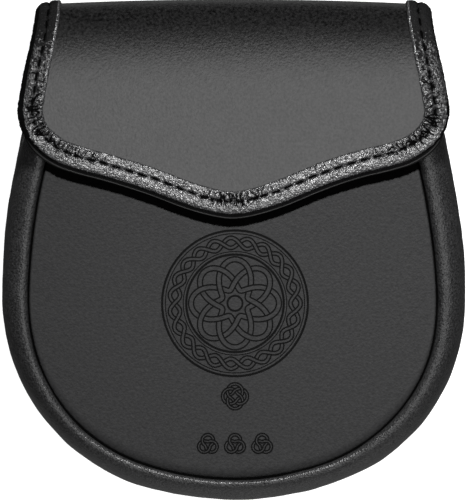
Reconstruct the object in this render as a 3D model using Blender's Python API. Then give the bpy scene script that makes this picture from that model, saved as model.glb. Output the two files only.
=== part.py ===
"""A leather day sporran: a round-bottomed belt pouch with a shaped flap, lying on its back.

Units are metres. X is across the pouch, Y runs up its front towards the fold of the flap and Z is its
depth, with the back on Z = 0 and the front facing +Z. The origin is the middle of the back.
"""
import math

import bmesh
import bpy
import numpy as np

# Clearance between pieces that touch
GAP = 0.0003

# Outline of the pouch, seen from the front
POUCH_WIDTH = 0.1856
POUCH_DROP = 0.084        # from the widest line down to the bottom
POUCH_ROUNDNESS = 2.15    # 2 is an ellipse, more is squarer
MOUTH_RISE = 0.0776       # from the widest line up to the mouth
MOUTH_TAPER = 0.0123      # how much narrower each side is at the mouth
TAPER_POWER = 1.8
FLAP_RISE = 0.1144        # from the widest line up to the outside of the flap's fold

# Depth, from the surface that the pouch lies on
POUCH_DEPTH = 0.0348      # to the crest of the front roll
FRONT_SET_IN = 0.0030     # the front panel lies this far below the crest
FRONT_CROWN = 0.0012

# Leather
FRONT_LEATHER = 0.0020
BACK_LEATHER = 0.0022
GUSSET_LEATHER = 0.0015
FLAP_LEATHER = 0.0018
LINING_LEATHER = 0.0010
BINDING_LEATHER = 0.0009
LOOP_LEATHER = 0.0016

# Gusset
ROLL_RADIUS = 0.0024      # welted roll beside each panel
BACK_ROLL_HEIGHT = 0.0060
FRONT_RIM = 0.0080        # width of the front roll and slope at the bottom
BACK_RIM = 0.0080
BACK_ROLL_SHOWS = 0.0020  # how far the back roll stands out past the left side at the mouth
SEAM_ALLOWANCE = 0.0040

# Flap
FLAP_HALF_WIDTH = 0.0843
FLAP_CORNER_RISE = 0.0648  # from the widest line up to the flap's corners
FLAP_POINT_DROP = 0.0336   # from the corners down to the tip
FOLD_BACK_RADIUS = 0.0160
ROOT_LAP = 0.0180          # sewn to the back panel over this length
EDGE_CURL_WIDTH = 0.0060   # the sides turn down over this width
EDGE_CURL_RADIUS = 0.0060

# Binding and lining of the flap
BINDING_WIDTH = 0.0085
BINDING_UNDER = 0.0050
BINDING_PUFF = 0.0006
STITCH_FROM_EDGE = 0.0045
LINING_SHOWS = 0.0011      # past the binding
GATHER_DEPTH = 0.0005
GATHER_PITCH = 0.0052
GATHER_REACH = 0.0200

# Belt loops
BELT_SLOT = 0.0044
LOOP_WIDTH = 0.0240
LOOP_LENGTH = 0.0500
LOOP_FOOT = 0.0080
LOOP_BEND = 0.0035
LOOP_SPACING = 0.0840
LOOP_BELOW_FLAP = 0.0040   # from the flap's root down to the loops

# Clasp
CLASP_DIAMETER = 0.0130
CLASP_RIM = 0.0004
CLASP_FROM_TIP = 0.0160

# Rows of tables hold shares of the sizes above
# Share of the way along the gusset from the left mouth, share of FRONT_RIM
RIM_ROWS = ((0.00, 1.62), (0.12, 1.46), (0.24, 1.24), (0.34, 1.09), (0.42, 1.05), (0.50, 1.00),
            (0.58, 1.04), (0.67, 1.24), (0.77, 1.38), (0.88, 1.54), (1.00, 1.66))
# Share of the flap's side from its root to its corner, share of FLAP_HALF_WIDTH
SIDE_ROWS = ((0.00, 0.930), (0.42, 0.918), (0.54, 0.923), (0.66, 0.944), (0.76, 0.968), (0.86, 0.988),
             (0.94, 1.000), (1.00, 0.988))
# Share of the corner's half width, share of FLAP_POINT_DROP
POINT_ROWS = ((0.000, 1.000), (0.100, 0.948), (0.220, 0.862), (0.400, 0.695), (0.600, 0.540),
              (0.763, 0.437), (0.834, 0.379), (0.900, 0.287), (0.940, 0.207), (0.967, 0.138),
              (0.985, 0.069), (1.000, 0.000))
# Share of the flap's side, share of the full curl
CURL_ROWS = ((0.00, 0.90), (0.42, 1.00), (0.75, 1.00), (0.90, 0.80), (1.00, 0.55))
# Where the flap's lengthwise grid lines run, as shares of its half width
FLAP_COLUMNS = (0.0, 0.06, 0.14, 0.24, 0.37, 0.51, 0.65, 0.77, 0.86, 0.915, 0.950, 0.975, 0.990, 1.0)

# Heights and places that follow from the sizes above
WIDEST_Y = (POUCH_DROP - FLAP_RISE - GAP - BINDING_LEATHER) / 2
MOUTH_Y = WIDEST_Y + MOUTH_RISE
BACK_FACE_Z = LOOP_LEATHER + BELT_SLOT
FRONT_EDGE_Z = POUCH_DEPTH - FRONT_SET_IN
UNDER_BINDING = GAP + BINDING_LEATHER + GAP
FLAP_FRONT_Z = POUCH_DEPTH + GAP + LINING_LEATHER + UNDER_BINDING
FLAP_BACK_Z = BACK_FACE_Z - GAP
FOLD_START_Y = WIDEST_Y + FLAP_RISE - FLAP_LEATHER - FOLD_BACK_RADIUS
FLAP_CORNER_Y = WIDEST_Y + FLAP_CORNER_RISE


def leather(name, colour, roughness):
    """A leather as a plain Principled material."""
    material = bpy.data.materials.new(name)
    material.use_nodes = True
    shader = material.node_tree.nodes["Principled BSDF"]
    shader.inputs["Base Color"].default_value = (*colour, 1.0)
    shader.inputs["Roughness"].default_value = roughness
    shader.inputs["Metallic"].default_value = 0.0
    return material


def add_piece(name, points, faces, material, sharp_degrees=35):
    """One closed solid as an object, faces pointing out, shaded smooth between sharp edges."""
    mesh = bpy.data.meshes.new(name)
    shape = bmesh.new()
    corners = [shape.verts.new(p) for p in points]
    for face in faces:
        shape.faces.new([corners[i] for i in face])
    bmesh.ops.recalc_face_normals(shape, faces=shape.faces)
    shape.to_mesh(mesh)
    shape.free()
    mesh.materials.append(material)
    mesh.shade_smooth()
    mesh.set_sharp_from_angle(angle=math.radians(sharp_degrees))
    piece = bpy.data.objects.new(name, mesh)
    bpy.context.scene.collection.objects.link(piece)
    return piece


def read_rows(rows, at):
    """The smooth curve through a table's rows, read at one position or many."""
    place, value = np.array(rows).T
    slope = np.gradient(value, place)
    at = np.clip(at, place[0], place[-1])
    k = np.clip(np.searchsorted(place, at) - 1, 0, len(place) - 2)
    span = place[k + 1] - place[k]
    t = (at - place[k]) / span
    return (value[k] * (1 - t) ** 2 * (1 + 2 * t) + value[k + 1] * t ** 2 * (3 - 2 * t)
            + span * slope[k] * t * (1 - t) ** 2 - span * slope[k + 1] * t ** 2 * (1 - t))


def left_normals(path):
    """Unit vectors to the left of a path of 2-D points, lengthened at bends to keep an even offset."""
    steps = np.diff(path, axis=0)
    steps /= np.linalg.norm(steps, axis=1)[:, None]
    sides = np.column_stack((-steps[:, 1], steps[:, 0]))
    before = np.vstack((sides[:1], sides))
    after = np.vstack((sides, sides[-1:]))
    return (before + after) / (1 + np.sum(before * after, axis=1))[:, None]


def tube_faces(stations, points):
    """Faces of a tube of closed sections with both ends capped."""
    faces = [[a * points + b, a * points + (b + 1) % points,
              (a + 1) * points + (b + 1) % points, (a + 1) * points + b]
             for a in range(stations - 1) for b in range(points)]
    faces.append(list(range(points)))
    faces.append([(stations - 1) * points + b for b in range(points)])
    return faces


def slab_faces(rows, columns):
    """Faces of a slab between two grids of equal size, the second grid's points after the first's."""
    size = rows * columns
    faces = []
    for base in (0, size):
        faces += [[base + r * columns + c, base + r * columns + c + 1,
                   base + (r + 1) * columns + c + 1, base + (r + 1) * columns + c]
                  for r in range(rows - 1) for c in range(columns - 1)]
    rim = ([c for c in range(columns)]
           + [r * columns + columns - 1 for r in range(1, rows)]
           + [(rows - 1) * columns + c for c in range(columns - 2, -1, -1)]
           + [r * columns for r in range(rows - 2, 0, -1)])
    faces += [[a, b, b + size, a + size] for a, b in zip(rim, rim[1:] + rim[:1])]
    return faces


def side_reach(y):
    """Half the pouch's width at a height above its widest line."""
    rise = np.maximum(y - WIDEST_Y, 0) / MOUTH_RISE
    return POUCH_WIDTH / 2 - MOUTH_TAPER * rise ** TAPER_POWER


def pouch_outline(side_steps=8, bottom_steps=28):
    """Outline from the left mouth round the bottom to the right mouth, as (x, y) rows."""
    side_y = np.linspace(MOUTH_Y, WIDEST_Y, side_steps, endpoint=False)
    left = np.column_stack((-side_reach(side_y), side_y))
    turn = np.linspace(math.pi, 2 * math.pi, bottom_steps + 1)
    power = 2 / POUCH_ROUNDNESS
    x = POUCH_WIDTH / 2 * np.sign(np.cos(turn)) * np.abs(np.cos(turn)) ** power
    y = WIDEST_Y - POUCH_DROP * np.abs(np.sin(turn)) ** power
    right = left[::-1] * (-1, 1)
    return np.vstack((left, np.column_stack((x, y)), right))


def travelled(path):
    """Share of a path's length reached at each of its points."""
    steps = np.linalg.norm(np.diff(path, axis=0), axis=1)
    return np.concatenate(([0], np.cumsum(steps))) / np.sum(steps)


def gusset_skin(rim, back_shows):
    """Outside of the gusset's section, front seam to back seam, as (inward, height) rows."""
    slope_width = rim - ROLL_RADIUS - back_shows
    slope_height = POUCH_DEPTH / 2
    crest = POUCH_DEPTH - ROLL_RADIUS
    skin = [(rim + SEAM_ALLOWANCE, FRONT_EDGE_Z - FRONT_LEATHER - GAP),
            (rim, FRONT_EDGE_Z - FRONT_LEATHER - GAP)]
    for degrees in (0, 45, 90):
        a = math.radians(degrees)
        skin.append((rim - ROLL_RADIUS * (1 - math.cos(a)), crest + ROLL_RADIUS * math.sin(a)))
    for degrees in (62, 38, 15, 0):
        a = math.radians(degrees)
        skin.append((back_shows + slope_width * (1 - math.cos(a)),
                     POUCH_DEPTH - slope_height * (1 - math.sin(a))))
    skin += [(back_shows, BACK_ROLL_HEIGHT * 1.5), (0, BACK_ROLL_HEIGHT)]
    back_crest = BACK_RIM - ROLL_RADIUS
    for degrees in (45, 90):
        a = math.radians(degrees)
        skin.append((back_crest * (1 - math.cos(a)), BACK_ROLL_HEIGHT * (1 - math.sin(a))))
    for degrees in (45, 90):
        a = math.radians(degrees)
        skin.append((back_crest + ROLL_RADIUS * math.sin(a), ROLL_RADIUS * (1 - math.cos(a))))
    back_seam = BACK_FACE_Z + BACK_LEATHER + GAP
    skin += [(BACK_RIM, back_seam), (BACK_RIM + SEAM_ALLOWANCE, back_seam)]
    return np.array(skin)


def rim_widths(outline):
    """Width of the front roll and slope at each point of the outline."""
    return FRONT_RIM * read_rows(RIM_ROWS, travelled(outline))


def make_gusset(material):
    """The side wall, one strip of soft leather with a roll along the front and the back seam."""
    outline = pouch_outline()
    inward = left_normals(outline)
    share = travelled(outline)
    shows = BACK_ROLL_SHOWS * np.clip(1 - share / 0.22, 0, 1) ** 1.5
    points = []
    for place, normal, rim, back_shows in zip(outline, inward, rim_widths(outline), shows):
        skin = gusset_skin(rim, back_shows)
        inside = skin + GUSSET_LEATHER * left_normals(skin)
        section = np.vstack((skin, inside[::-1]))
        points += [(*(place + normal * u), z) for u, z in section]
    return add_piece("gusset", points, tube_faces(len(outline), len(section)), material)


def panel_points(edge, rings, face_z, crown, leather_depth):
    """Rings of a crowned panel from its edge to its middle, outer face first, then inner face."""
    middle = np.array((0.0, WIDEST_Y))
    points = []
    for depth in (0.0, leather_depth):
        for ring in rings:
            z = face_z + crown * (1 - ring ** 2) - depth
            points += [(*(middle + (p - middle) * ring), z) for p in edge]
        points.append((*middle, face_z + crown - depth))
    return points


def make_panel(name, edge, rings, face_z, crown, leather_depth, material):
    """A panel filling an edge, in rings about its middle."""
    count = len(edge)
    half = count * len(rings) + 1
    faces = []
    for base in (0, half):
        for ring in range(len(rings) - 1):
            a, b = base + ring * count, base + (ring + 1) * count
            faces += [[a + i, a + (i + 1) % count, b + (i + 1) % count, b + i] for i in range(count)]
        last = base + (len(rings) - 1) * count
        faces += [[last + i, last + (i + 1) % count, base + half - 1] for i in range(count)]
    faces += [[i, (i + 1) % count, half + (i + 1) % count, half + i] for i in range(count)]
    points = panel_points(edge, rings, face_z, crown, leather_depth)
    return add_piece(name, points, faces, material)


def across(left, right, steps):
    """Points between two corners, both left out."""
    return [left + (right - left) * i / steps for i in range(1, steps)]


def make_front_panel(material):
    """The front leather, its edge down in the groove and its top edge at the mouth."""
    outline = pouch_outline()
    seat = (rim_widths(outline) + GAP)[:, None]
    edge = outline + left_normals(outline) * seat
    edge = np.vstack((edge, across(edge[-1], edge[0], 8)))
    make_panel("front_panel", edge, (1.0, 0.88, 0.62, 0.32), FRONT_EDGE_Z, FRONT_CROWN, FRONT_LEATHER, material)


def make_back_panel(material):
    """The back leather, which rises above the gusset to carry the root of the flap."""
    outline = pouch_outline()
    edge = outline + left_normals(outline) * (BACK_RIM + GAP)
    top_half = side_reach(FOLD_START_Y) - BACK_RIM
    top = np.array(((top_half, FOLD_START_Y), (-top_half, FOLD_START_Y)))
    edge = np.vstack((edge, top))
    make_panel("back_panel", edge, (1.0,), BACK_FACE_Z + BACK_LEATHER, 0.0, BACK_LEATHER, material)


def flap_profile():
    """Line of the flap's inner face from root to tip: lengths along it, (y, z) points and normals."""
    root = np.array(((FOLD_START_Y - ROOT_LAP, FLAP_BACK_Z), (FOLD_START_Y, FLAP_BACK_Z)))
    half_depth = (FLAP_FRONT_Z - FLAP_BACK_Z) / 2
    turn = np.radians(np.linspace(-90, 90, 61))[1:]
    reach = np.where(turn < 0, FOLD_BACK_RADIUS, FOLD_START_Y + FOLD_BACK_RADIUS - MOUTH_Y)
    base = np.where(turn < 0, FOLD_START_Y, MOUTH_Y)
    fold = np.column_stack((base + reach * np.cos(turn), FLAP_BACK_Z + half_depth * (1 + np.sin(turn))))
    past_tip = FLAP_CORNER_Y - FLAP_POINT_DROP - BINDING_WIDTH
    points = np.vstack((root, fold, (past_tip, FLAP_FRONT_Z)))
    length = np.concatenate(([0], np.cumsum(np.linalg.norm(np.diff(points, axis=0), axis=1))))
    return length, points, -left_normals(points)


class FlapShape:
    """Bends the flap's flat pattern over the mouth and turns its sides down."""

    def __init__(self):
        self.length, self.points, self.normals = flap_profile()
        self.fold_start = ROOT_LAP
        self.front = self.length[-2]
        self.corner = self.front + MOUTH_Y - FLAP_CORNER_Y

    def half_width(self, along):
        """Half the width of the flat pattern at a length from the root."""
        return FLAP_HALF_WIDTH * read_rows(SIDE_ROWS, along / self.corner)

    def place(self, across_flap, along, height):
        """Point in space for a point of the flat pattern, at a height above its inner face."""
        curl = read_rows(CURL_ROWS, along / self.corner)
        radius = EDGE_CURL_RADIUS / curl
        straight = self.half_width(along) - EDGE_CURL_WIDTH
        turned = max(abs(across_flap) - straight, 0) / radius
        reach = min(abs(across_flap), straight) + (radius + height) * math.sin(turned)
        lift = (radius + height) * math.cos(turned) - radius
        y, z = [np.interp(along, self.length, self.points[:, i]) for i in (0, 1)]
        normal_y, normal_z = [np.interp(along, self.length, self.normals[:, i]) for i in (0, 1)]
        return (math.copysign(reach, across_flap), y + normal_y * lift, z + normal_z * lift)

    def grid(self):
        """Flat pattern as rows of (across, along) from the root to the pointed front edge."""
        columns = np.array([-c for c in FLAP_COLUMNS[:0:-1]] + list(FLAP_COLUMNS))
        curved = list(np.linspace(self.fold_start, self.front, 13))
        fixed_rows = [0.0, self.fold_start * 0.6] + curved
        corner_half = self.half_width(self.corner)
        front_edge = self.corner + FLAP_POINT_DROP * read_rows(POINT_ROWS, np.abs(columns))
        rows = [[(c * self.half_width(s), s) for c in columns] for s in fixed_rows]
        for share in (0.2, 0.4, 0.6, 0.8, 1.0):
            along = self.front + (front_edge - self.front) * share
            half = np.where(along < self.corner, self.half_width(along), corner_half)
            rows.append(list(zip(columns * half, along)))
        return np.array(rows)


def free_edge(grid):
    """Edge of a flat pattern down its left side, along its front and up its right side."""
    return np.vstack((grid[:-1, 0], grid[-1], grid[-2::-1, -1]))


def make_flap(shape, material):
    """The flap's main leather."""
    grid = shape.grid()
    points = [shape.place(x, s, h) for h in (0.0, FLAP_LEATHER) for row in grid for x, s in row]
    add_piece("flap", points, slab_faces(*grid.shape[:2]), material)


def make_lining(shape, material):
    """Thin leather under the flap from the fold to just past the binding."""
    grid = shape.grid()
    edge = free_edge(grid)
    outward = left_normals(edge) * (GAP + BINDING_LEATHER + LINING_SHOWS)
    rows = len(grid)
    edge = edge + outward
    grid[:-1, 0] = edge[:rows - 1]
    grid[-1] = edge[rows - 1:rows - 1 + grid.shape[1]]
    grid[:-1, -1] = edge[:-rows:-1]
    grid = grid[3:]
    top = -UNDER_BINDING
    points = [shape.place(x, s, h) for h in (top - LINING_LEATHER, top) for row in grid for x, s in row]
    add_piece("flap_lining", points, slab_faces(*grid.shape[:2]), material)


def binding_section(gather):
    """Closed section of the folded strip as (inward from the flap's edge, height) rows.

    The gather lifts the strip's outer face, most of all between its inner edge and its stitches.
    """
    top = FLAP_LEATHER + GAP
    under = -GAP
    leaf = BINDING_LEATHER
    half_puff = STITCH_FROM_EDGE / 2
    return [(BINDING_WIDTH, top + leaf / 2),
            (BINDING_WIDTH - leaf, top + leaf + BINDING_PUFF / 3 + gather),
            (STITCH_FROM_EDGE + leaf, top + leaf + BINDING_PUFF / 3 + gather),
            (STITCH_FROM_EDGE, top + leaf / 2),
            (STITCH_FROM_EDGE - leaf, top + leaf + BINDING_PUFF / 2 + gather / 2),
            (half_puff, top + leaf + BINDING_PUFF + gather / 2),
            (leaf / 2, top + leaf),
            (-GAP - leaf, FLAP_LEATHER / 2),
            (leaf / 4, under - leaf),
            (BINDING_UNDER / 3, under - leaf),
            (BINDING_UNDER * 2 / 3, under - leaf),
            (BINDING_UNDER, under - leaf),
            (BINDING_UNDER, under),
            (BINDING_UNDER * 2 / 3, under),
            (BINDING_UNDER / 3, under),
            (-GAP, under),
            (-GAP, top),
            (half_puff, top),
            (STITCH_FROM_EDGE, top),
            (BINDING_WIDTH * 0.75, top),
            (BINDING_WIDTH, top)]


def make_binding(shape, material):
    """The soft strip folded round the flap's edge, puffed outside its stitches and gathered at the bends."""
    grid = shape.grid()
    rows, columns = grid.shape[:2]
    edge = free_edge(grid)
    outward = left_normals(edge)
    run = np.concatenate(([0], np.cumsum(np.linalg.norm(np.diff(edge, axis=0), axis=1))))
    bends = run[[rows - 1, rows - 1 + columns // 2, rows + columns - 2]]
    stations = list(run)
    for bend in bends:
        for at in np.arange(bend - GATHER_REACH, bend + GATHER_REACH, GATHER_PITCH / 3):
            if np.min(np.abs(run - at)) > GATHER_PITCH / 12:
                stations.append(at)
    points = []
    for at in sorted(stations):
        nearest = np.min(np.abs(bends - at))
        fade = max(1 - (nearest / GATHER_REACH) ** 2, 0)
        section = binding_section(GATHER_DEPTH * fade * math.cos(2 * math.pi * nearest / GATHER_PITCH))
        place_x, place_s, out_x, out_s = [np.interp(at, run, column) for column in (*edge.T, *outward.T)]
        points += [shape.place(place_x - out_x * inset, place_s - out_s * inset, height)
                   for inset, height in section]
    add_piece("flap_binding", points, tube_faces(len(stations), len(section)), material)


def make_clasp(shape, material):
    """A low round fastener between the front panel and the flap's lining, near the tip."""
    y = FLAP_CORNER_Y - FLAP_POINT_DROP + CLASP_FROM_TIP
    top = FLAP_FRONT_Z - UNDER_BINDING - LINING_LEATHER - GAP
    bottom = FRONT_EDGE_Z + FRONT_CROWN + GAP
    radius = CLASP_DIAMETER / 2
    turned = ((radius - CLASP_RIM, bottom), (radius, bottom + CLASP_RIM),
              (radius, top - CLASP_RIM), (radius - CLASP_RIM, top))
    sides = 24
    points = [(r * math.cos(2 * math.pi * i / sides), y + r * math.sin(2 * math.pi * i / sides), z)
              for r, z in turned for i in range(sides)]
    add_piece("clasp_stud", points, tube_faces(len(turned), sides), material)


def make_belt_loop(name, x, material):
    """A strap sewn on the back panel at both feet, bowed out between them for the belt."""
    foot_z = BACK_FACE_Z - GAP
    half = LOOP_LENGTH / 2
    bow = half - LOOP_FOOT
    drop = foot_z - LOOP_LEATHER
    slant = [(bow - LOOP_BEND * t, foot_z - drop * t * t * (3 - 2 * t)) for t in (0.25, 0.5, 0.75, 1.0)]
    upper = [(half, foot_z), (bow, foot_z)] + slant
    inner = np.array(upper + [(-y, z) for y, z in upper[::-1]])
    outer = inner + LOOP_LEATHER * left_normals(inner)
    section = np.vstack((inner, outer[::-1]))
    middle_y = FOLD_START_Y - ROOT_LAP - LOOP_BELOW_FLAP - half
    points = [(x + side * LOOP_WIDTH / 2, middle_y + y, z) for side in (-1, 1) for y, z in section]
    add_piece(name, points, tube_faces(2, len(section)), material)


def main():
    for old in list(bpy.data.objects):
        bpy.data.objects.remove(old)
    smooth_black = leather("smooth_black_leather", (0.045, 0.045, 0.047), 0.48)
    soft_black = leather("soft_black_leather", (0.025, 0.025, 0.027), 0.42)
    pebbled_black = leather("pebbled_black_leather", (0.040, 0.040, 0.042), 0.35)
    lining_black = leather("lining_leather", (0.030, 0.030, 0.031), 0.60)
    nickel = leather("clasp_nickel", (0.62, 0.61, 0.58), 0.30)
    nickel.node_tree.nodes["Principled BSDF"].inputs["Metallic"].default_value = 1.0

    make_gusset(soft_black)
    make_front_panel(smooth_black)
    make_back_panel(soft_black)
    shape = FlapShape()
    make_flap(shape, smooth_black)
    make_lining(shape, lining_black)
    make_binding(shape, pebbled_black)
    make_clasp(shape, nickel)
    make_belt_loop("belt_loop_left", -LOOP_SPACING / 2, smooth_black)
    make_belt_loop("belt_loop_right", LOOP_SPACING / 2, smooth_black)


main()
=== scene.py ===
"""A leather day sporran lying on its back, seen from straight above its front.

Sizes are metres. X runs across the pouch, Y up its front and Z out of its front.
"""
import math

import bpy
import numpy as np
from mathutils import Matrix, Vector, noise


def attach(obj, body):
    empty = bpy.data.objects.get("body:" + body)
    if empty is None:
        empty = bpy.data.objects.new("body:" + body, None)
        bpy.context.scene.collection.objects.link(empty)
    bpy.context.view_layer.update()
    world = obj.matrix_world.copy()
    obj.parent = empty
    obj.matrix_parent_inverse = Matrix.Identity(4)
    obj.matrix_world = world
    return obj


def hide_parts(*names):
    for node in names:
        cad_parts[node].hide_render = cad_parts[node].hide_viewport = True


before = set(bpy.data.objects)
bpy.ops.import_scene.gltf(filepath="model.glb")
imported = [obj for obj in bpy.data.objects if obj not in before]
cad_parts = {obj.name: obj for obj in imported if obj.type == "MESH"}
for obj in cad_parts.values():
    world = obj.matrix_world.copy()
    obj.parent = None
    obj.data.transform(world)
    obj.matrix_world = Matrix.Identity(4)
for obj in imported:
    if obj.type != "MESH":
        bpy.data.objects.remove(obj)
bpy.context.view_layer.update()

# The flap is one thick smooth leather, sewn to the back and folded over the mouth to a blunt point.
# Its sides turn down a little and its face is burnished to a low sheen.
MOUTH_Y = 0.0618
WIDEST_Y = -0.0158
FLAP_LEATHER = 0.0018
FLAP_HALF_WIDTH = 0.0843
FLAP_CORNER_Y = 0.0490
FLAP_POINT_DROP = 0.0345
FLAP_BACK_Z = 0.0057
FLAP_FRONT_Z = 0.0376
FOLD_START_Y = 0.0808
FOLD_BACK_RADIUS = 0.0160
ROOT_LAP = 0.0180
SPARE_AT_TIP = 0.0085
FOLD_BOW = 0.0017
BOW_HALF_WIDTH = 0.088
BOW_FALL = 1.5
BOW_LOWEST = -0.4
EDGE_CURL_WIDTH = 0.0060
EDGE_CURL_RADIUS = 0.0060
# Share of the flap's side from its root to its corner, share of FLAP_HALF_WIDTH
SIDE_ROWS = ((0.00, 0.930), (0.42, 0.918), (0.54, 0.923), (0.66, 0.944), (0.76, 0.968), (0.86, 0.988),
             (0.94, 1.000), (1.00, 0.988))
# Share of the corner's half width, share of FLAP_POINT_DROP
POINT_ROWS = ((0.000, 1.000), (0.100, 0.948), (0.220, 0.862), (0.400, 0.695), (0.600, 0.540),
              (0.763, 0.437), (0.834, 0.379), (0.900, 0.287), (0.940, 0.207), (0.967, 0.138),
              (0.985, 0.069), (1.000, 0.000))
# Share of the flap's side, share of the full curl
CURL_ROWS = ((0.00, 0.90), (0.42, 1.00), (0.75, 1.00), (0.90, 0.80), (1.00, 0.55))
# Share of the corner's half width from left to right, and how far that part of the edge hangs lower
LEAN_ROWS = ((-1.0, 0.0), (-0.80, 0.0006), (-0.30, 0.0008), (0.0, 0.0006), (0.30, 0.0002), (0.55, -0.0005),
             (0.80, -0.0003), (1.0, 0.0))
TIP_BLUNT = 0.05
FLAP_BLACK = (0.0002, 0.0002, 0.0003)
FLAP_WORN = (0.0200, 0.0198, 0.0200)
POLISH_PATCH = 0.006
POLISH_SPREAD = 0.012
NOISE_LOW, NOISE_HIGH = 0.3, 0.7
PORE_SPAN = 0.8


def read_rows(rows, at):
    """The smooth curve through a table's rows."""
    place, value = np.array(rows).T
    slope = np.gradient(value, place)
    at = np.clip(at, place[0], place[-1])
    k = np.clip(np.searchsorted(place, at) - 1, 0, len(place) - 2)
    span = place[k + 1] - place[k]
    t = (at - place[k]) / span
    return (value[k] * (1 - t) ** 2 * (1 + 2 * t) + value[k + 1] * t ** 2 * (3 - 2 * t)
            + span * slope[k] * t * (1 - t) ** 2 - span * slope[k + 1] * t ** 2 * (1 - t))


def left_normals(path):
    """Unit vectors to the left of a path of 2-D points."""
    along = np.gradient(path, axis=0)
    along /= np.linalg.norm(along, axis=1)[:, None]
    return np.column_stack((-along[:, 1], along[:, 0]))


def travelled(path):
    """Length reached at each point of a path."""
    return np.concatenate(([0], np.cumsum(np.linalg.norm(np.diff(path, axis=0), axis=1))))


turn = np.radians(np.linspace(-90, 90, 361))[1:]
fold_reach = np.where(turn < 0, FOLD_BACK_RADIUS, FOLD_START_Y + FOLD_BACK_RADIUS - MOUTH_Y)
fold_base = np.where(turn < 0, FOLD_START_Y, MOUTH_Y)
fold_z = FLAP_BACK_Z + (FLAP_FRONT_Z - FLAP_BACK_Z) / 2 * (1 + np.sin(turn))
flap_line = np.vstack(((FOLD_START_Y - ROOT_LAP, FLAP_BACK_Z), (FOLD_START_Y, FLAP_BACK_Z),
                       np.column_stack((fold_base + fold_reach * np.cos(turn), fold_z)),
                       (FLAP_CORNER_Y - FLAP_POINT_DROP - SPARE_AT_TIP, FLAP_FRONT_Z)))
flap_length = travelled(flap_line)
flap_up = -left_normals(flap_line)
flap_front = flap_length[-2]
flap_corner = flap_front + MOUTH_Y - FLAP_CORNER_Y


def half_width(along):
    """Half the flat flap's width at a length from its root."""
    return FLAP_HALF_WIDTH * read_rows(SIDE_ROWS, along / flap_corner)


def bend_flap(across, along, height):
    """Points of the flat flap, at a height above its inner face, bent over the mouth."""
    across, along, height = np.broadcast_arrays(across, along, height)
    radius = EDGE_CURL_RADIUS / read_rows(CURL_ROWS, along / flap_corner)
    straight = half_width(along) - EDGE_CURL_WIDTH
    turned = np.maximum(np.abs(across) - straight, 0) / radius
    reach = np.minimum(np.abs(across), straight) + (radius + height) * np.sin(turned)
    lift = (radius + height) * np.cos(turned) - radius
    y, z = [np.interp(along, flap_length, flap_line[:, i]) for i in (0, 1)]
    up_y, up_z = [np.interp(along, flap_length, flap_up[:, i]) for i in (0, 1)]
    near_fold = np.clip((y - MOUTH_Y) / (FOLD_START_Y + FOLD_BACK_RADIUS - MOUTH_Y), 0, 1)
    bow = np.clip(1 - BOW_FALL * (across / BOW_HALF_WIDTH) ** 2, BOW_LOWEST, 1)
    y = y + FOLD_BOW * near_fold ** 2 * bow
    return np.stack((np.sign(across) * reach, y + up_y * lift, z + up_z * lift), axis=-1)


def point_line(u):
    """Length from the root to the flap's front edge, from its left corner to its right corner."""
    blunt = np.minimum(np.sqrt(u ** 2 + TIP_BLUNT ** 2 * (1 - u ** 2)), 1.0)
    return flap_corner + FLAP_POINT_DROP * read_rows(POINT_ROWS, blunt) + read_rows(LEAN_ROWS, u)


def flap_pattern(columns, rows, widen):
    """The flat flap as a grid of (across, along), its edges moved outward."""
    u = np.sin(np.linspace(-math.pi / 2, math.pi / 2, columns))
    start = np.linspace(0, flap_front, rows)
    grid = np.empty((rows + rows // 3, columns, 2))
    grid[:rows, :, 0] = (half_width(start) + widen)[:, None] * u
    grid[:rows, :, 1] = start[:, None]
    edge = point_line(u) + widen
    for i, share in enumerate(np.linspace(0, 1, rows // 3 + 1)[1:]):
        along = flap_front + (edge - flap_front) * share
        grid[rows + i, :, 0] = u * (half_width(np.minimum(along, flap_corner)) + widen)
        grid[rows + i, :, 1] = along
    return grid


def slab_faces(rows, columns):
    """Faces of a slab between two grids, the second grid's points after the first's."""
    size = rows * columns
    r, c = np.meshgrid(np.arange(rows - 1), np.arange(columns - 1), indexing="ij")
    a = (r * columns + c).ravel()
    quad = np.column_stack((a, a + 1, a + columns + 1, a + columns))
    rim = np.concatenate((np.arange(columns), np.arange(1, rows) * columns + columns - 1,
                          (rows - 1) * columns + np.arange(columns - 2, -1, -1),
                          np.arange(rows - 2, 0, -1) * columns))
    after = np.roll(rim, -1)
    return np.vstack((quad[:, ::-1], quad + size, np.column_stack((rim, after, after + size, rim + size))))


def piece(name, points, faces, finish, sharp=60):
    """A leather piece as one mesh object riding the sporran, faces pointing out."""
    mesh = bpy.data.meshes.new(name)
    points = np.asarray(points).reshape(-1, 3)
    mesh.from_pydata(points.tolist(), [], [list(map(int, f)) for f in faces])
    mesh.materials.append(finish)
    corners = points[np.array([list(f)[:3] for f in faces])]
    volume = np.einsum("ij,ij->i", corners[:, 0], np.cross(corners[:, 1], corners[:, 2])).sum()
    if volume < 0:
        mesh.flip_normals()
    mesh.shade_smooth()
    mesh.set_sharp_from_angle(angle=math.radians(sharp))
    obj = bpy.data.objects.new(name, mesh)
    bpy.context.scene.collection.objects.link(obj)
    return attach(obj, "root")


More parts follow.
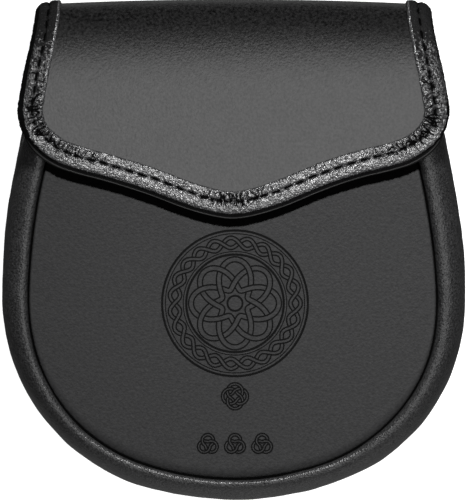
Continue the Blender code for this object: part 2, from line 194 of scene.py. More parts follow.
def leather(name, black, worn, roughness, gloss, pore, pore_depth, wrinkle, wrinkle_depth, mottle=0.020):
    """Dyed leather: pores and wrinkles as bump, uneven dye and uneven polish."""
    finish = bpy.data.materials.new(name)
    finish.use_nodes = True
    nodes, links = finish.node_tree.nodes, finish.node_tree.links
    shader = nodes["Principled BSDF"]
    shader.inputs["Specular IOR Level"].default_value = gloss
    where = nodes.new("ShaderNodeTexCoord").outputs["Object"]

    def texture(kind, size, **settings):
        node = nodes.new(kind)
        node.inputs["Scale"].default_value = 1 / size
        for key, value in settings.items():
            if key in node.inputs:
                node.inputs[key].default_value = value
            else:
                setattr(node, key, value)
        links.new(where, node.inputs["Vector"])
        return node

    def spread(source, low, high):
        node = nodes.new("ShaderNodeMapRange")
        node.inputs["From Min"].default_value = NOISE_LOW
        node.inputs["From Max"].default_value = NOISE_HIGH
        node.inputs["To Min"].default_value = low
        node.inputs["To Max"].default_value = high
        links.new(source, node.inputs["Value"])
        return node.outputs["Result"]

    patches = texture("ShaderNodeTexNoise", mottle, Detail=3.0)
    dye = nodes.new("ShaderNodeMix")
    dye.data_type = "RGBA"
    dye.inputs["A"].default_value = (*black, 1)
    dye.inputs["B"].default_value = (*worn, 1)
    links.new(spread(patches.outputs["Fac"], 0, 1), dye.inputs["Factor"])
    links.new(dye.outputs["Result"], shader.inputs["Base Color"])
    polish = texture("ShaderNodeTexNoise", POLISH_PATCH, Detail=4.0)
    uneven = spread(polish.outputs["Fac"], roughness - POLISH_SPREAD, roughness + POLISH_SPREAD)
    links.new(uneven, shader.inputs["Roughness"])
    pores = texture("ShaderNodeTexVoronoi", pore)
    crease = nodes.new("ShaderNodeMapRange")
    crease.inputs["From Max"].default_value = PORE_SPAN
    crease.inputs["To Min"].default_value = 1.0
    crease.inputs["To Max"].default_value = 0.0
    links.new(pores.outputs["Distance"], crease.inputs["Value"])
    pore_bump = nodes.new("ShaderNodeBump")
    pore_bump.inputs["Distance"].default_value = pore_depth
    links.new(crease.outputs["Result"], pore_bump.inputs["Height"])
    wrinkles = texture("ShaderNodeTexNoise", wrinkle, Detail=5.0, Roughness=0.6)
    wrinkle_bump = nodes.new("ShaderNodeBump")
    wrinkle_bump.inputs["Distance"].default_value = wrinkle_depth
    links.new(wrinkles.outputs["Fac"], wrinkle_bump.inputs["Height"])
    links.new(wrinkle_bump.outputs["Normal"], pore_bump.inputs["Normal"])
    links.new(pore_bump.outputs["Normal"], shader.inputs["Normal"])
    return finish


smooth_flap = leather("smooth_flap_leather", black=FLAP_BLACK, worn=FLAP_WORN, roughness=0.38, gloss=0.40,
                      pore=0.0009, pore_depth=0.000045, wrinkle=0.0016, wrinkle_depth=0.000080,
                      mottle=0.0011)
pattern = flap_pattern(columns=121, rows=120, widen=0.0)
flap_points = [bend_flap(pattern[..., 0], pattern[..., 1], h) for h in (0.0, FLAP_LEATHER)]
flap = piece("flap", flap_points, slab_faces(*pattern.shape[:2]), smooth_flap)
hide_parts("flap")

# The lining is a thin leather cemented under the flap, cut a little larger than the bound edge.
# Only its raw edge shows outside the binding, finished near-black as painted shade
# for the gap under the binding's roll.
LINING_LEATHER = 0.0010
LINING_TOP = -0.0013
LINING_OUT = 0.0020
# A near-black, matt finish: painted shade for the gap under the binding's roll.
lining_shade_finish = leather("flap_lining_painted_shade", black=(0.0020, 0.0020, 0.0020),
                        worn=(0.0035, 0.0035, 0.0035), roughness=0.60, gloss=0.05, pore=0.0008,
                        pore_depth=0.000020, wrinkle=0.0020, wrinkle_depth=0.000060)
pattern = flap_pattern(columns=121, rows=90, widen=LINING_OUT)
pattern = pattern[np.searchsorted(pattern[:, 0, 1], ROOT_LAP):]
lining_points = [bend_flap(pattern[..., 0], pattern[..., 1], h)
                 for h in (LINING_TOP - LINING_LEATHER, LINING_TOP)]
lining = piece("flap_lining", lining_points, slab_faces(*pattern.shape[:2]), lining_shade_finish)
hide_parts("flap_lining")

# The binding is a strip of soft pebbled leather folded round the flap's free edge and sewn through.
# It puffs up outside the stitches and is gathered into pleats round both corners and at the tip.
# Up both sides and under the roll it is painted darker and duller as painted shade, and its deep creases
# and sideways flanks are painted near-black as painted shade.
BINDING_LEAF = 0.0009
BINDING_WIDTH = 0.0085
BINDING_UNDER = 0.0050
STITCH_FROM_EDGE = 0.0045
EDGE_PUFF = 0.0008
INNER_PUFF = 0.0004
STITCH_PITCH = 0.0053
STITCH_LENGTH = 0.0034
STITCH_SINK = 0.0011
BRIDGE_SINK = 0.0003
STITCH_SOFTNESS = 0.00018
SEAM_WANDER = 0.00030
WANDER_LENGTH = 0.0045
GLUE = 0.0001
ROLL_IN = 0.0013
ROLL_OUT = 0.0009
ROLL_UNDER = 0.0002
PLEAT_PITCH = 0.0027
PLEAT_DEPTH = 0.0011
PLEAT_REACH = 0.0300
PLEAT_LEAST = 0.12
CREASE_SHARE = 0.110
CREASE_SPOT = 0.004
SIDE_SHADE_SPOT = 0.0009
PEBBLE = 0.0011
PEBBLE_DEPTH = 0.00017
BINDING_STATIONS = 1500
# Share of the corner's half width, length past the corner, strength of the pleats, share of PLEAT_REACH
GATHER_ROWS = ((-0.97, 0.0045, 1.00, 0.5), (0.00, FLAP_POINT_DROP, 0.80, 0.3), (0.97, 0.0045, 1.00, 0.5))
SIDE_SHADE_LENGTH = 0.040
SIDE_SHADE_PATCHY = 1.8
# Share of the side-shade length up the side from the corner, and how deep the painted shade is there
SIDE_SHADE_ROWS = ((-0.15, -1.0), (0.0, 0.4), (0.3, 0.8), (0.5, 1.0), (0.8, 1.5), (1.0, 2.6))
# How far the edge faces sideways, and how far in from it the roll's flank is painted black as shade;
# then what the left adds
FLANK_SHADE_ROWS = ((0.35, -0.0009), (0.60, -0.0004), (0.95, 0.0013))
LEFT_FLANK_SHADE_ROWS = ((0.60, 0.0), (0.95, 0.0009))


def soften(values, width):
    """Values along a path, averaged over a width given in stations."""
    reach = int(3 * width)
    weight = np.exp(-0.5 * (np.arange(-reach, reach + 1) / width) ** 2)
    weight /= weight.sum()
    padded = np.concatenate((2 * values[0] - values[reach:0:-1], values,
                             2 * values[-1] - values[-2:-reach - 2:-1]))
    return np.column_stack([np.convolve(column, weight, "valid") for column in padded.T])


def surface_normals(grid, closed):
    """Unit normals of a grid of points, its second direction closed on itself or not."""
    first = np.gradient(grid, axis=0)
    if closed:
        second = np.roll(grid, -1, axis=1) - np.roll(grid, 1, axis=1)
    else:
        second = np.gradient(grid, axis=1)
    normal = np.cross(second, first)
    return normal / np.maximum(np.linalg.norm(normal, axis=-1, keepdims=True), 1e-12)


def tube_faces(stations, points):
    """Faces of a tube of closed sections with both ends capped."""
    a, b = np.meshgrid(np.arange(stations - 1), np.arange(points), indexing="ij")
    here, after = (a * points + b).ravel(), (a * points + (b + 1) % points).ravel()
    faces = np.column_stack((here, after, after + points, here + points)).tolist()
    return faces + [list(range(points))[::-1], [(stations - 1) * points + b for b in range(points)]]


side = np.linspace(0, flap_corner, 700)
left_side = np.column_stack((-half_width(side), side))
u = np.linspace(-1, 1, 1601)
front_edge = np.column_stack((u * half_width(flap_corner), point_line(u)))
edge = np.vstack((left_side, front_edge[1:-1], left_side[::-1] * (-1, 1)))
run = travelled(edge)
even = np.linspace(0, run[-1], BINDING_STATIONS)
edge = np.column_stack([np.interp(even, run, edge[:, i]) for i in (0, 1)])
edge = soften(edge, 4)
run = travelled(edge)
spacing = run[-1] / (BINDING_STATIONS - 1)
outward = soften(left_normals(edge), 0.0040 / spacing)
outward /= np.linalg.norm(outward, axis=1)[:, None]
gathered = np.zeros(len(run))
for half_share, past_corner, strength, reach in GATHER_ROWS:
    off = np.abs(edge - (half_width(flap_corner) * half_share, flap_corner + past_corner)).sum(axis=1)
    gathered += strength * np.exp(-0.5 * ((run - run[off.argmin()]) / (PLEAT_REACH * reach)) ** 2)
pleat_strength = gathered + PLEAT_LEAST
seam_wander = SEAM_WANDER * np.array([noise.noise((r / WANDER_LENGTH, 0.7, 5.5)) for r in run])


def waves(inset):
    """The gathered leather's large and small waves along the strip, at a distance from its edge."""
    large = np.array([noise.noise((r / PLEAT_PITCH, inset / 0.005, 3.1)) for r in run])
    small = np.array([noise.noise((r / PLEAT_PITCH * 2.3, inset / 0.003, 9.7)) for r in run])
    return large, small


def pleats(inset):
    """Height of the gathered leather along the strip, with sharp uneven creases."""
    wave, small = waves(inset)
    crease = np.exp(-(wave / 0.10) ** 2) + 0.5 * np.exp(-(small / 0.12) ** 2)
    return pleat_strength * PLEAT_DEPTH * (0.3 + 0.8 * np.abs(wave) - crease)


in_pitch = np.abs((run / STITCH_PITCH) % 1 - 0.5) * STITCH_PITCH
at_stitch = 1 / (1 + np.exp((in_pitch - STITCH_LENGTH / 2) / STITCH_SOFTNESS))
sink = BRIDGE_SINK + (STITCH_SINK - BRIDGE_SINK) * at_stitch

edge_top = FLAP_LEATHER + GLUE + BINDING_LEAF
roll_low = -ROLL_UNDER - BINDING_LEAF
# Distances from the edge, over the strip's cut edge, its inner leaf, the seam's groove and its outer leaf
insets = np.concatenate((BINDING_WIDTH - np.array((0.0, -0.00008, 0.0002, 0.0006)),
                         np.linspace(BINDING_WIDTH - 0.0010, STITCH_FROM_EDGE + 0.0008, 12),
                         STITCH_FROM_EDGE + np.array((0.0006, 0.00042, 0.00028, 0.00014, 0.0,
                                                      -0.00014, -0.00028, -0.00042, -0.0006)),
                         np.linspace(STITCH_FROM_EDGE - 0.0008, ROLL_IN, 12)))
top_rows = []
for k, inset in enumerate(insets):
    rise = (0.0, 0.5, 0.9, 1.0)[k] if k < 4 else 1.0
    height = FLAP_LEATHER + GLUE + BINDING_LEAF * rise
    inner = np.clip((BINDING_WIDTH - inset) / (BINDING_WIDTH - STITCH_FROM_EDGE), 0, 1)
    outer = np.clip((STITCH_FROM_EDGE - inset) / (STITCH_FROM_EDGE - ROLL_IN), 0, 1)
    if inner < 1:
        swell = INNER_PUFF * math.sin(math.pi * inner) ** 0.7
        fold = math.sin(math.pi * inner) ** 0.5
    else:
        swell = EDGE_PUFF * math.sin(math.pi * 0.62 * outer)
        fold = 0.15 + 0.6 * (1 - outer)
    groove = np.exp(-((inset - STITCH_FROM_EDGE) / (0.00030 + 0.00016 * at_stitch)) ** 2)
    near_seam = math.exp(-((inset - STITCH_FROM_EDGE) / 0.0015) ** 2)
    top_rows.append((inset + seam_wander * near_seam, height + swell - sink * groove + pleats(inset) * fold))
last = top_rows[-1][1]
for degrees in range(75, -91, -15):
    a = math.radians(degrees)
    inset = np.full(len(run), ROLL_IN - (ROLL_IN + ROLL_OUT) * math.cos(a))
    top_rows.append((inset, (last + roll_low) / 2 + (last - roll_low) / 2 * math.sin(a)))
for inset, height in ((0.0025, roll_low), (0.0040, roll_low), (BINDING_UNDER, roll_low),
                      (BINDING_UNDER, -GLUE), (0.0025, -GLUE), (-GLUE, -GLUE),
                      (-GLUE, FLAP_LEATHER + GLUE), (0.0040, FLAP_LEATHER + GLUE)):
    top_rows.append((np.full(len(run), inset), np.full(len(run), height)))
inset_grid = np.stack([row[0] for row in top_rows], axis=1)
height_grid = np.stack([row[1] for row in top_rows], axis=1)
binding_grid = bend_flap(edge[:, :1] - outward[:, :1] * inset_grid,
                         edge[:, 1:] - outward[:, 1:] * inset_grid, height_grid)
shown_rows = len(insets) + 12
normal = surface_normals(binding_grid, closed=True)
inner_leaf_row = 12
if (normal[:, inner_leaf_row, 2] * np.sign(flap_up[-1, 1])).mean() < 0:
    normal = -normal
# Faces deep in the gathered creases are marked for a near-black finish: painted shade in the creases.
crease_shade_faces = np.zeros(binding_grid.shape[:2], bool)
gathered = gathered * (1 + 0.35 * np.array([noise.noise((r / CREASE_SPOT, 4.4, 0.3)) for r in run]))
for j, inset in enumerate(insets[3:], start=3):
    wave, small = waves(inset)
    past_seam = np.clip((STITCH_FROM_EDGE - 0.0006 - inset) / 0.0020, 0, 1)
    at_seam = math.exp(-((inset - STITCH_FROM_EDGE) / 0.0006) ** 2)
    width = CREASE_SHARE * gathered * (1 - past_seam) * (1 + 0.8 * at_seam)
    crease_shade_faces[:, j] = np.minimum(np.abs(wave), np.abs(small) * 1.6) < width
relief = np.zeros(binding_grid.shape[:2])
for i, j in np.ndindex(len(run), shown_rows):
    at = Vector(binding_grid[i, j]) / PEBBLE
    cells = noise.voronoi(at)[0]
    relief[i, j] = min(cells[1] - cells[0], 0.5) * 2 - 0.5 + 0.8 * noise.noise(at * 0.45)
binding_grid += normal * (relief * PEBBLE_DEPTH)[..., None]
pebbled = leather("pebbled_binding_leather", black=(0.012, 0.012, 0.0125), worn=(0.018, 0.018, 0.0185),
                  roughness=0.34, gloss=1.0, pore=0.0009, pore_depth=0.000300, wrinkle=0.0012,
                  wrinkle_depth=0.000300)
binding = piece("flap_binding", binding_grid, tube_faces(*binding_grid.shape[:2]), pebbled, sharp=80)
# A darker, matt copy of the binding leather: painted shade up the sides and under the roll.
full_side_shade_finish = leather("binding_full_painted_shade", black=(0.0035, 0.0035, 0.0036), worn=(0.0060, 0.0060, 0.0061),
                    roughness=0.60, gloss=0.03, pore=0.0009, pore_depth=0.000300, wrinkle=0.0012,
                    wrinkle_depth=0.000300)
# A near-black, matt copy of the binding leather: painted shade for the creases and the roll's sideways flank.
black_shade_finish = leather("binding_black_painted_shade", black=(0.0006, 0.0006, 0.0006),
                       worn=(0.0012, 0.0012, 0.0012), roughness=0.90, gloss=0.02, pore=0.0008,
                       pore_depth=0.000050, wrinkle=0.0012, wrinkle_depth=0.000050)
# A copy half way between the glossy and the darkened binding leather: painted half shade up the sides.
half_side_shade_finish = leather("binding_half_painted_shade", black=(0.0070, 0.0070, 0.0072),
                     worn=(0.0110, 0.0110, 0.0113), roughness=0.38, gloss=0.40, pore=0.0009,
                     pore_depth=0.000300, wrinkle=0.0012, wrinkle_depth=0.000300)
for finish in (black_shade_finish, half_side_shade_finish, full_side_shade_finish):
    binding.data.materials.append(finish)
GLOSSY, BLACK_SHADE, HALF_SIDE_SHADE, FULL_SIDE_SHADE = range(4)
finish_of_face = np.full(binding_grid.shape[:2], GLOSSY)
# Faces up the sides from the corners take the half or full painted shade, more the higher up, in patches.
side_shade_level = np.interp((flap_corner - edge[:, 1]) / SIDE_SHADE_LENGTH, *zip(*SIDE_SHADE_ROWS))
for i, j in np.ndindex(len(run), len(insets)):
    if j > 3 and side_shade_level[i] > -0.9:
        level = side_shade_level[i] + SIDE_SHADE_PATCHY * noise.noise(Vector(binding_grid[i, j]) / SIDE_SHADE_SPOT)
        finish_of_face[i, j] = (GLOSSY, HALF_SIDE_SHADE, FULL_SIDE_SHADE)[max(0, min(2, round(level)))]
# Where the edge faces sideways, the roll's outer flank is painted near-black as shade, reaching further in on
# the left.
sideways = np.abs(outward[:, 0])
flank_shade_reach = np.interp(sideways, *zip(*FLANK_SHADE_ROWS))
flank_shade_reach += np.where(edge[:, 0] < 0, np.interp(sideways, *zip(*LEFT_FLANK_SHADE_ROWS)), 0.0)
# The rows under the roll take the full painted shade.
finish_of_face[:, len(insets) + 2:shown_rows] = FULL_SIDE_SHADE
flank_shade_faces = inset_grid < flank_shade_reach[:, None]
flank_shade_faces[:, shown_rows:] = False
finish_of_face[flank_shade_faces | crease_shade_faces] = BLACK_SHADE
binding.data.polygons.foreach_set("material_index", np.append(finish_of_face[:-1].ravel(), (GLOSSY, GLOSSY)))
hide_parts("flap_binding")

# The lining's edge is creased and waxed into a thin bead that shows as a light line outside the binding.
# It runs along the front only, from just above one corner to just above the other.
BEAD_RADIUS = 0.00030
BEAD_RISE = 0.0001
BEAD_SIDES = 8
ABOVE_CORNER = 0.002
beaded = edge[:, 1] > flap_corner - ABOVE_CORNER
ring = np.linspace(0, 2 * math.pi, BEAD_SIDES, endpoint=False)
bead_out = LINING_OUT - BEAD_RADIUS * 0.5 + BEAD_RADIUS * np.cos(ring)
bead_height = LINING_TOP + BEAD_RISE + BEAD_RADIUS * np.sin(ring)
bead_grid = bend_flap(edge[beaded, :1] + outward[beaded, :1] * bead_out,
                      edge[beaded, 1:] + outward[beaded, 1:] * bead_out, bead_height)
waxed_edge = leather("waxed_lining_edge", black=(0.014, 0.014, 0.014), worn=(0.020, 0.020, 0.020),
                     roughness=0.45, gloss=0.30, pore=0.0008, pore_depth=0.000020, wrinkle=0.0020,
                     wrinkle_depth=0.000060)
bead = piece("flap_lining_edge", bead_grid, tube_faces(*bead_grid.shape[:2]), waxed_edge)

# The binding's seam is a waxed black thread, sunk into the leather in long even stitches.
# Each stitch is one short bent length of thread whose ends dive into their holes.
THREAD_RADIUS = 0.00055
THREAD_SIDES = 8
THREAD_FLATNESS = 0.8
THREAD_PROUD = 0.00045
END_DIVE = 0.0006
thread = leather("waxed_black_thread", black=(0.0010, 0.0010, 0.0010), worn=(0.0016, 0.0016, 0.0016),
                 roughness=0.80, gloss=0.03, pore=0.0004, pore_depth=0.000040, wrinkle=0.0008,
                 wrinkle_depth=0.000050)


def stitches(name, centre, up, radius):
    """Short lengths of thread, as arrays of (stitch, point, xyz) and their upward directions."""
    along = np.gradient(centre, axis=1)
    along /= np.linalg.norm(along, axis=-1, keepdims=True)
    side = np.cross(along, up)
    side /= np.linalg.norm(side, axis=-1, keepdims=True)
    up = np.cross(side, along)
    round_thread = np.linspace(0, 2 * math.pi, THREAD_SIDES, endpoint=False)[:, None]
    ring = (centre[:, :, None] + radius * (np.cos(round_thread) * side[:, :, None]
                                           + THREAD_FLATNESS * np.sin(round_thread) * up[:, :, None]))
    count, steps = centre.shape[:2]
    one = tube_faces(steps, THREAD_SIDES)
    faces = [[i + k * steps * THREAD_SIDES for i in face] for k in range(count) for face in one]
    return piece(name, ring, faces, thread)


middles = (np.arange(int(run[-1] / STITCH_PITCH)) + 0.5) * STITCH_PITCH
steps = np.linspace(-0.5, 0.5, 7)
at = middles[:, None] + steps * STITCH_LENGTH
line = [np.interp(at, run, column) for column in (*edge.T, *outward.T, seam_wander)]
seam = [line[i] - line[i + 2] * (STITCH_FROM_EDGE + line[4]) for i in (0, 1)]
dip = edge_top - STITCH_SINK + THREAD_PROUD - END_DIVE * np.abs(steps * 2) ** 4
centre = bend_flap(*seam, dip)
stitches("flap_binding_stitches", centre, bend_flap(*seam, dip + 0.001) - centre, THREAD_RADIUS)

# The gusset is the soft side wall, one strip turned into a roll along the front and the back seam.
# The thin glossy leather lies in soft dents, and its front roll is fuller up both sides.
POUCH_WIDTH = 0.1856
POUCH_DROP = 0.084
POUCH_ROUNDNESS = 2.15
MOUTH_RISE = 0.0776
MOUTH_TAPER = 0.0123
TAPER_POWER = 1.8
POUCH_DEPTH = 0.0348
FRONT_EDGE_Z = 0.0318
FRONT_LEATHER = 0.0020
BACK_FACE_Z = 0.0060
BACK_LEATHER = 0.0022
GUSSET_LEATHER = 0.0015
ROLL_RADIUS = 0.0024
BACK_ROLL_HEIGHT = 0.0060
FRONT_RIM = 0.0080
BACK_RIM = 0.0080
BACK_ROLL_SHOWS = 0.0020
SEAM_ALLOWANCE = 0.0040
SEAM_GAP = 0.0003
# Share of the way along the gusset from the left mouth, share of FRONT_RIM
RIM_ROWS = ((0.00, 1.62), (0.12, 1.46), (0.24, 1.24), (0.34, 1.09), (0.42, 1.06), (0.50, 1.04),
            (0.58, 1.06), (0.67, 1.24), (0.77, 1.38), (0.88, 1.54), (1.00, 1.66))
# The same share, and how far the roll's crest lies from the seam in metres
CREST_ROWS = ((0.00, 0.0024), (0.20, 0.0022), (0.38, 0.0018), (0.50, 0.0015), (0.62, 0.0019), (0.80, 0.0030),
              (1.00, 0.0034))
# The same share, and how far the outline bows out there in metres
BOW_ROWS = ((0.00, 0.0004), (0.04, 0.0005), (0.10, 0.0006), (0.14, 0.0003), (0.18, 0.0000), (0.40, 0.0000),
            (0.443, -0.0002), (0.466, -0.0002), (0.50, 0.0000), (0.536, -0.0002), (0.562, -0.0003),
            (0.60, 0.0001), (0.645, 0.0006), (0.70, 0.0008), (0.747, 0.0007), (0.80, 0.0002),
            (0.86, 0.0000), (1.00, 0.0000))
DENT_DEPTH = 0.00035
DENT_SIZE = 0.016


def side_reach(y):
    """Half the pouch's width at a height above its widest line."""
    rise = np.maximum(y - WIDEST_Y, 0) / MOUTH_RISE
    return POUCH_WIDTH / 2 - MOUTH_TAPER * rise ** TAPER_POWER


side_y = np.linspace(MOUTH_Y, WIDEST_Y, 160, endpoint=False)
left_wall = np.column_stack((-side_reach(side_y), side_y))
turn = np.linspace(math.pi, 2 * math.pi, 801)
power = 2 / POUCH_ROUNDNESS
outline = np.column_stack((POUCH_WIDTH / 2 * np.sign(np.cos(turn)) * np.abs(np.cos(turn)) ** power,
                           WIDEST_Y - POUCH_DROP * np.abs(np.sin(turn)) ** power))
outline = np.vstack((left_wall, outline, left_wall[::-1] * (-1, 1)))
length = travelled(outline)
even = np.linspace(0, length[-1], 900)
outline = np.column_stack([np.interp(even, length, outline[:, i]) for i in (0, 1)])
share = even / even[-1]
inward = left_normals(outline)
outline = outline - inward * read_rows(BOW_ROWS, share)[:, None]
rim = FRONT_RIM * read_rows(RIM_ROWS, share)
crest_in = read_rows(CREST_ROWS, share)
back_shows = BACK_ROLL_SHOWS * np.clip(1 - share / 0.22, 0, 1) ** 1.5
slope_width = rim - crest_in - back_shows
slope_height = POUCH_DEPTH / 2
seam_z = FRONT_EDGE_Z - FRONT_LEATHER - SEAM_GAP
skin = [(rim + SEAM_ALLOWANCE, seam_z), (rim + 0.0001, seam_z)]
for degrees in range(0, 91, 10):
    a = math.radians(degrees)
    skin.append((rim - crest_in * (1 - math.cos(a)), POUCH_DEPTH - ROLL_RADIUS * (1 - math.sin(a))))
for degrees in range(84, -1, -6):
    a = math.radians(degrees)
    skin.append((back_shows + slope_width * (1 - math.cos(a)),
                 POUCH_DEPTH - slope_height * (1 - math.sin(a))))
skin += [(back_shows * 1.05, BACK_ROLL_HEIGHT * 2.2), (back_shows * 1.35, BACK_ROLL_HEIGHT * 1.62),
         (back_shows * 1.25, BACK_ROLL_HEIGHT * 1.50), (back_shows * 0.80, BACK_ROLL_HEIGHT * 1.52),
         (back_shows * 0.40, BACK_ROLL_HEIGHT * 1.46), (back_shows * 0.12, BACK_ROLL_HEIGHT * 1.26),
         (0.0, BACK_ROLL_HEIGHT)]
back_crest = BACK_RIM - ROLL_RADIUS
for degrees in range(15, 91, 15):
    a = math.radians(degrees)
    skin.append((back_crest * (1 - math.cos(a)), BACK_ROLL_HEIGHT * (1 - math.sin(a))))
for degrees in range(15, 91, 15):
    a = math.radians(degrees)
    skin.append((back_crest + ROLL_RADIUS * math.sin(a), ROLL_RADIUS * (1 - math.cos(a))))
back_seam = BACK_FACE_Z + BACK_LEATHER + SEAM_GAP
skin += [(BACK_RIM, back_seam), (BACK_RIM + SEAM_ALLOWANCE, back_seam)]
skin_u, skin_z = [np.stack([np.broadcast_to(row[i], rim.shape) for row in skin], axis=1) for i in (0, 1)]
outer_skin = np.stack((outline[:, :1] + inward[:, :1] * skin_u,
                       outline[:, 1:] + inward[:, 1:] * skin_u, skin_z), axis=-1)
normal = surface_normals(outer_skin, closed=False)
crest_row = 11
if normal[:, crest_row, 2].mean() < 0:
    normal = -normal
inner_skin = outer_skin - normal * GUSSET_LEATHER
dents = np.zeros(outer_skin.shape[:2])
for i, j in np.ndindex(len(outline), len(skin)):
    at = Vector(outer_skin[i, j])
    dents[i, j] = noise.noise(at / DENT_SIZE) + 0.35 * noise.noise(at / DENT_SIZE * 3)
outer_skin += normal * ((dents - 0.25) * DENT_DEPTH)[..., None]
gusset_grid = np.concatenate((outer_skin, inner_skin[:, ::-1]), axis=1)
soft_black = leather("soft_gusset_leather", black=(0.0030, 0.0030, 0.0031), worn=(0.0175, 0.0175, 0.0178),
                     roughness=0.32, gloss=0.19, pore=0.0008, pore_depth=0.000150, wrinkle=0.0011,
                     wrinkle_depth=0.000160, mottle=0.0008)
gusset = piece("gusset", gusset_grid, tube_faces(*gusset_grid.shape[:2]), soft_black)
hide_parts("gusset")

# The front panel is a smooth, nearly matt leather, sewn into the groove inside the front roll.
# It is crowned a little over the pouch and its edge turns down into the seam.
FRONT_CROWN = 0.0012
SIDE_TURN_WIDTH = 0.0008
SIDE_TURN_DEPTH = 0.0009
LOW_TURN_WIDTH = 0.0042
LOW_TURN_DEPTH = 0.0019
TUCKED_IN = 0.0007
PANEL_STEPS = 720
panel_edge = outline + inward * (rim + TUCKED_IN)[:, None]
top_edge = np.linspace(panel_edge[-1], panel_edge[0], 240)[1:-1]
panel_edge = np.vstack((panel_edge, top_edge))
panel_middle = np.array((0.0, WIDEST_Y))
edge_turn = np.arctan2(*(panel_edge - panel_middle).T[::-1])
order = np.argsort(edge_turn)
edge_turn = edge_turn[order]
edge_reach = np.linalg.norm(panel_edge - panel_middle, axis=1)[order]


def front_height(x, y):
    """Height of the front panel's face at a place on it."""
    x, y = np.asarray(x), np.asarray(y) - WIDEST_Y
    reach = np.interp(np.arctan2(y, x), edge_turn, edge_reach, period=2 * math.pi)
    ring = np.hypot(x, y) / reach
    low = np.clip(-y / np.maximum(np.hypot(x, y), 1e-9) * 1.25 - 0.15, 0, 1)
    low = low * low * (3 - 2 * low)
    width = SIDE_TURN_WIDTH + (LOW_TURN_WIDTH - SIDE_TURN_WIDTH) * low
    depth = SIDE_TURN_DEPTH + (LOW_TURN_DEPTH - SIDE_TURN_DEPTH) * low
    from_edge = np.clip(1 - reach * (1 - ring) / width, 0, 1)
    return FRONT_EDGE_Z + FRONT_CROWN * (1 - ring ** 2) - depth * (1 - np.sqrt(1 - from_edge ** 2 * 0.998))


near_edge = (0.055, 0.046, 0.038, 0.030, 0.024, 0.018, 0.013, 0.010, 0.007, 0.005, 0.003, 0.0015, 0.0)
rings = np.concatenate((np.linspace(0.01, 0.935, 46), 1 - np.array(near_edge)))
around = np.linspace(-math.pi, math.pi, PANEL_STEPS, endpoint=False)
reach = np.interp(around, edge_turn, edge_reach, period=2 * math.pi)
x = rings[:, None] * reach * np.cos(around)
y = WIDEST_Y + rings[:, None] * reach * np.sin(around)
z = front_height(x, y)
face = np.stack((x, y, z), axis=-1)
under = np.stack((x, y, np.minimum(z, FRONT_EDGE_Z + FRONT_CROWN) - FRONT_LEATHER * 0.9), axis=-1)[::-1]
under = under[[0, 24, 50, len(rings) - 1]]
panel_grid = np.concatenate((face, under))
matt_front = leather("smooth_front_leather", black=(0.0235, 0.0235, 0.0240), worn=(0.0345, 0.0345, 0.0350),
                     roughness=0.60, gloss=0.16, pore=0.0009, pore_depth=0.000060, wrinkle=0.0014,
                     wrinkle_depth=0.000080, mottle=0.0012)
front_panel = piece("front_panel", panel_grid, tube_faces(*panel_grid.shape[:2]), matt_front)
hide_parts("front_panel")

# A near-black strip lies deep in the front seam between the roll and the panel as painted shade.
# Only its edge shows, as the dark line round the front.
SEAM_SHADE_WIDTH = 0.0013
SEAM_SHADE_DEPTH = 0.0014
SEAM_SHADE_THICKNESS = 0.0006
UNDER_ROLL = 0.0003
seam_shade_grid = []
for u, z in ((0.0, 0.0), (SEAM_SHADE_WIDTH, 0.0), (SEAM_SHADE_WIDTH, -SEAM_SHADE_THICKNESS), (0.0, -SEAM_SHADE_THICKNESS)):
    flat = outline + inward * (rim - UNDER_ROLL + u)[:, None]
    seam_shade_grid.append(np.column_stack((flat, np.full(len(flat), FRONT_EDGE_Z - SEAM_SHADE_DEPTH + z))))
seam_shade_grid = np.stack(seam_shade_grid, axis=1)
# The strip's finish is near-black and matt: painted shade in the seam's groove.
seam_shade_finish = leather("front_seam_painted_shade_finish", black=(0.0012, 0.0012, 0.0012), worn=(0.0018, 0.0018, 0.0018),
                   roughness=0.90, gloss=0.02, pore=0.0006, pore_depth=0.000050, wrinkle=0.0020,
                   wrinkle_depth=0.000080)
seam_shade_strip = piece("front_seam_painted_shade", seam_shade_grid, tube_faces(*seam_shade_grid.shape[:2]), seam_shade_finish, sharp=30)

# A roundel of interlaced bands sits in the middle of the front, with a small knot and three trefoils below
# it, all drawn as flat ribbons on the leather. Their dark finish is partly the stamped lines' own tone and
# partly painted shade of the stamped grooves. Every band is drawn by its two edges, which stop where the band
# dives under another.
ROUNDEL_X = 0.0006
ROUNDEL_Y = -0.0210
KNOT_BELOW = 0.0370
TREFOILS_BELOW = 0.0562
TREFOIL_SPACING = 0.0108
LINE_WIDTH = 0.00058
LINE_RISE = 0.00004
CROSSING_MISS = 0.0003
CROSSING_GAP = 0.0002
# Radius of each plain ring, width of its line
RING_ROWS = ((0.0290, 0.0009), (0.0277, 0.0004), (0.0206, 0.0004), (0.0194, 0.0009), (0.0030, 0.0008))


def draw_lines(strokes):
    """Flat ribbons lying on the front panel, one for each stroke of (x, y) points."""
    points, faces = [], []
    for stroke, width in strokes:
        along = np.gradient(stroke, axis=0)
        along /= np.maximum(np.linalg.norm(along, axis=1), 1e-12)[:, None]
        side = np.column_stack((-along[:, 1], along[:, 0])) * width / 2
        base = len(points)
        for offset in (side, -side):
            flat = stroke + offset
            points += np.column_stack((flat, front_height(*flat.T) + LINE_RISE)).tolist()
        n = len(stroke)
        faces += [[base + i, base + i + 1, base + n + i + 1, base + n + i] for i in range(n - 1)]
    return np.array(points), faces


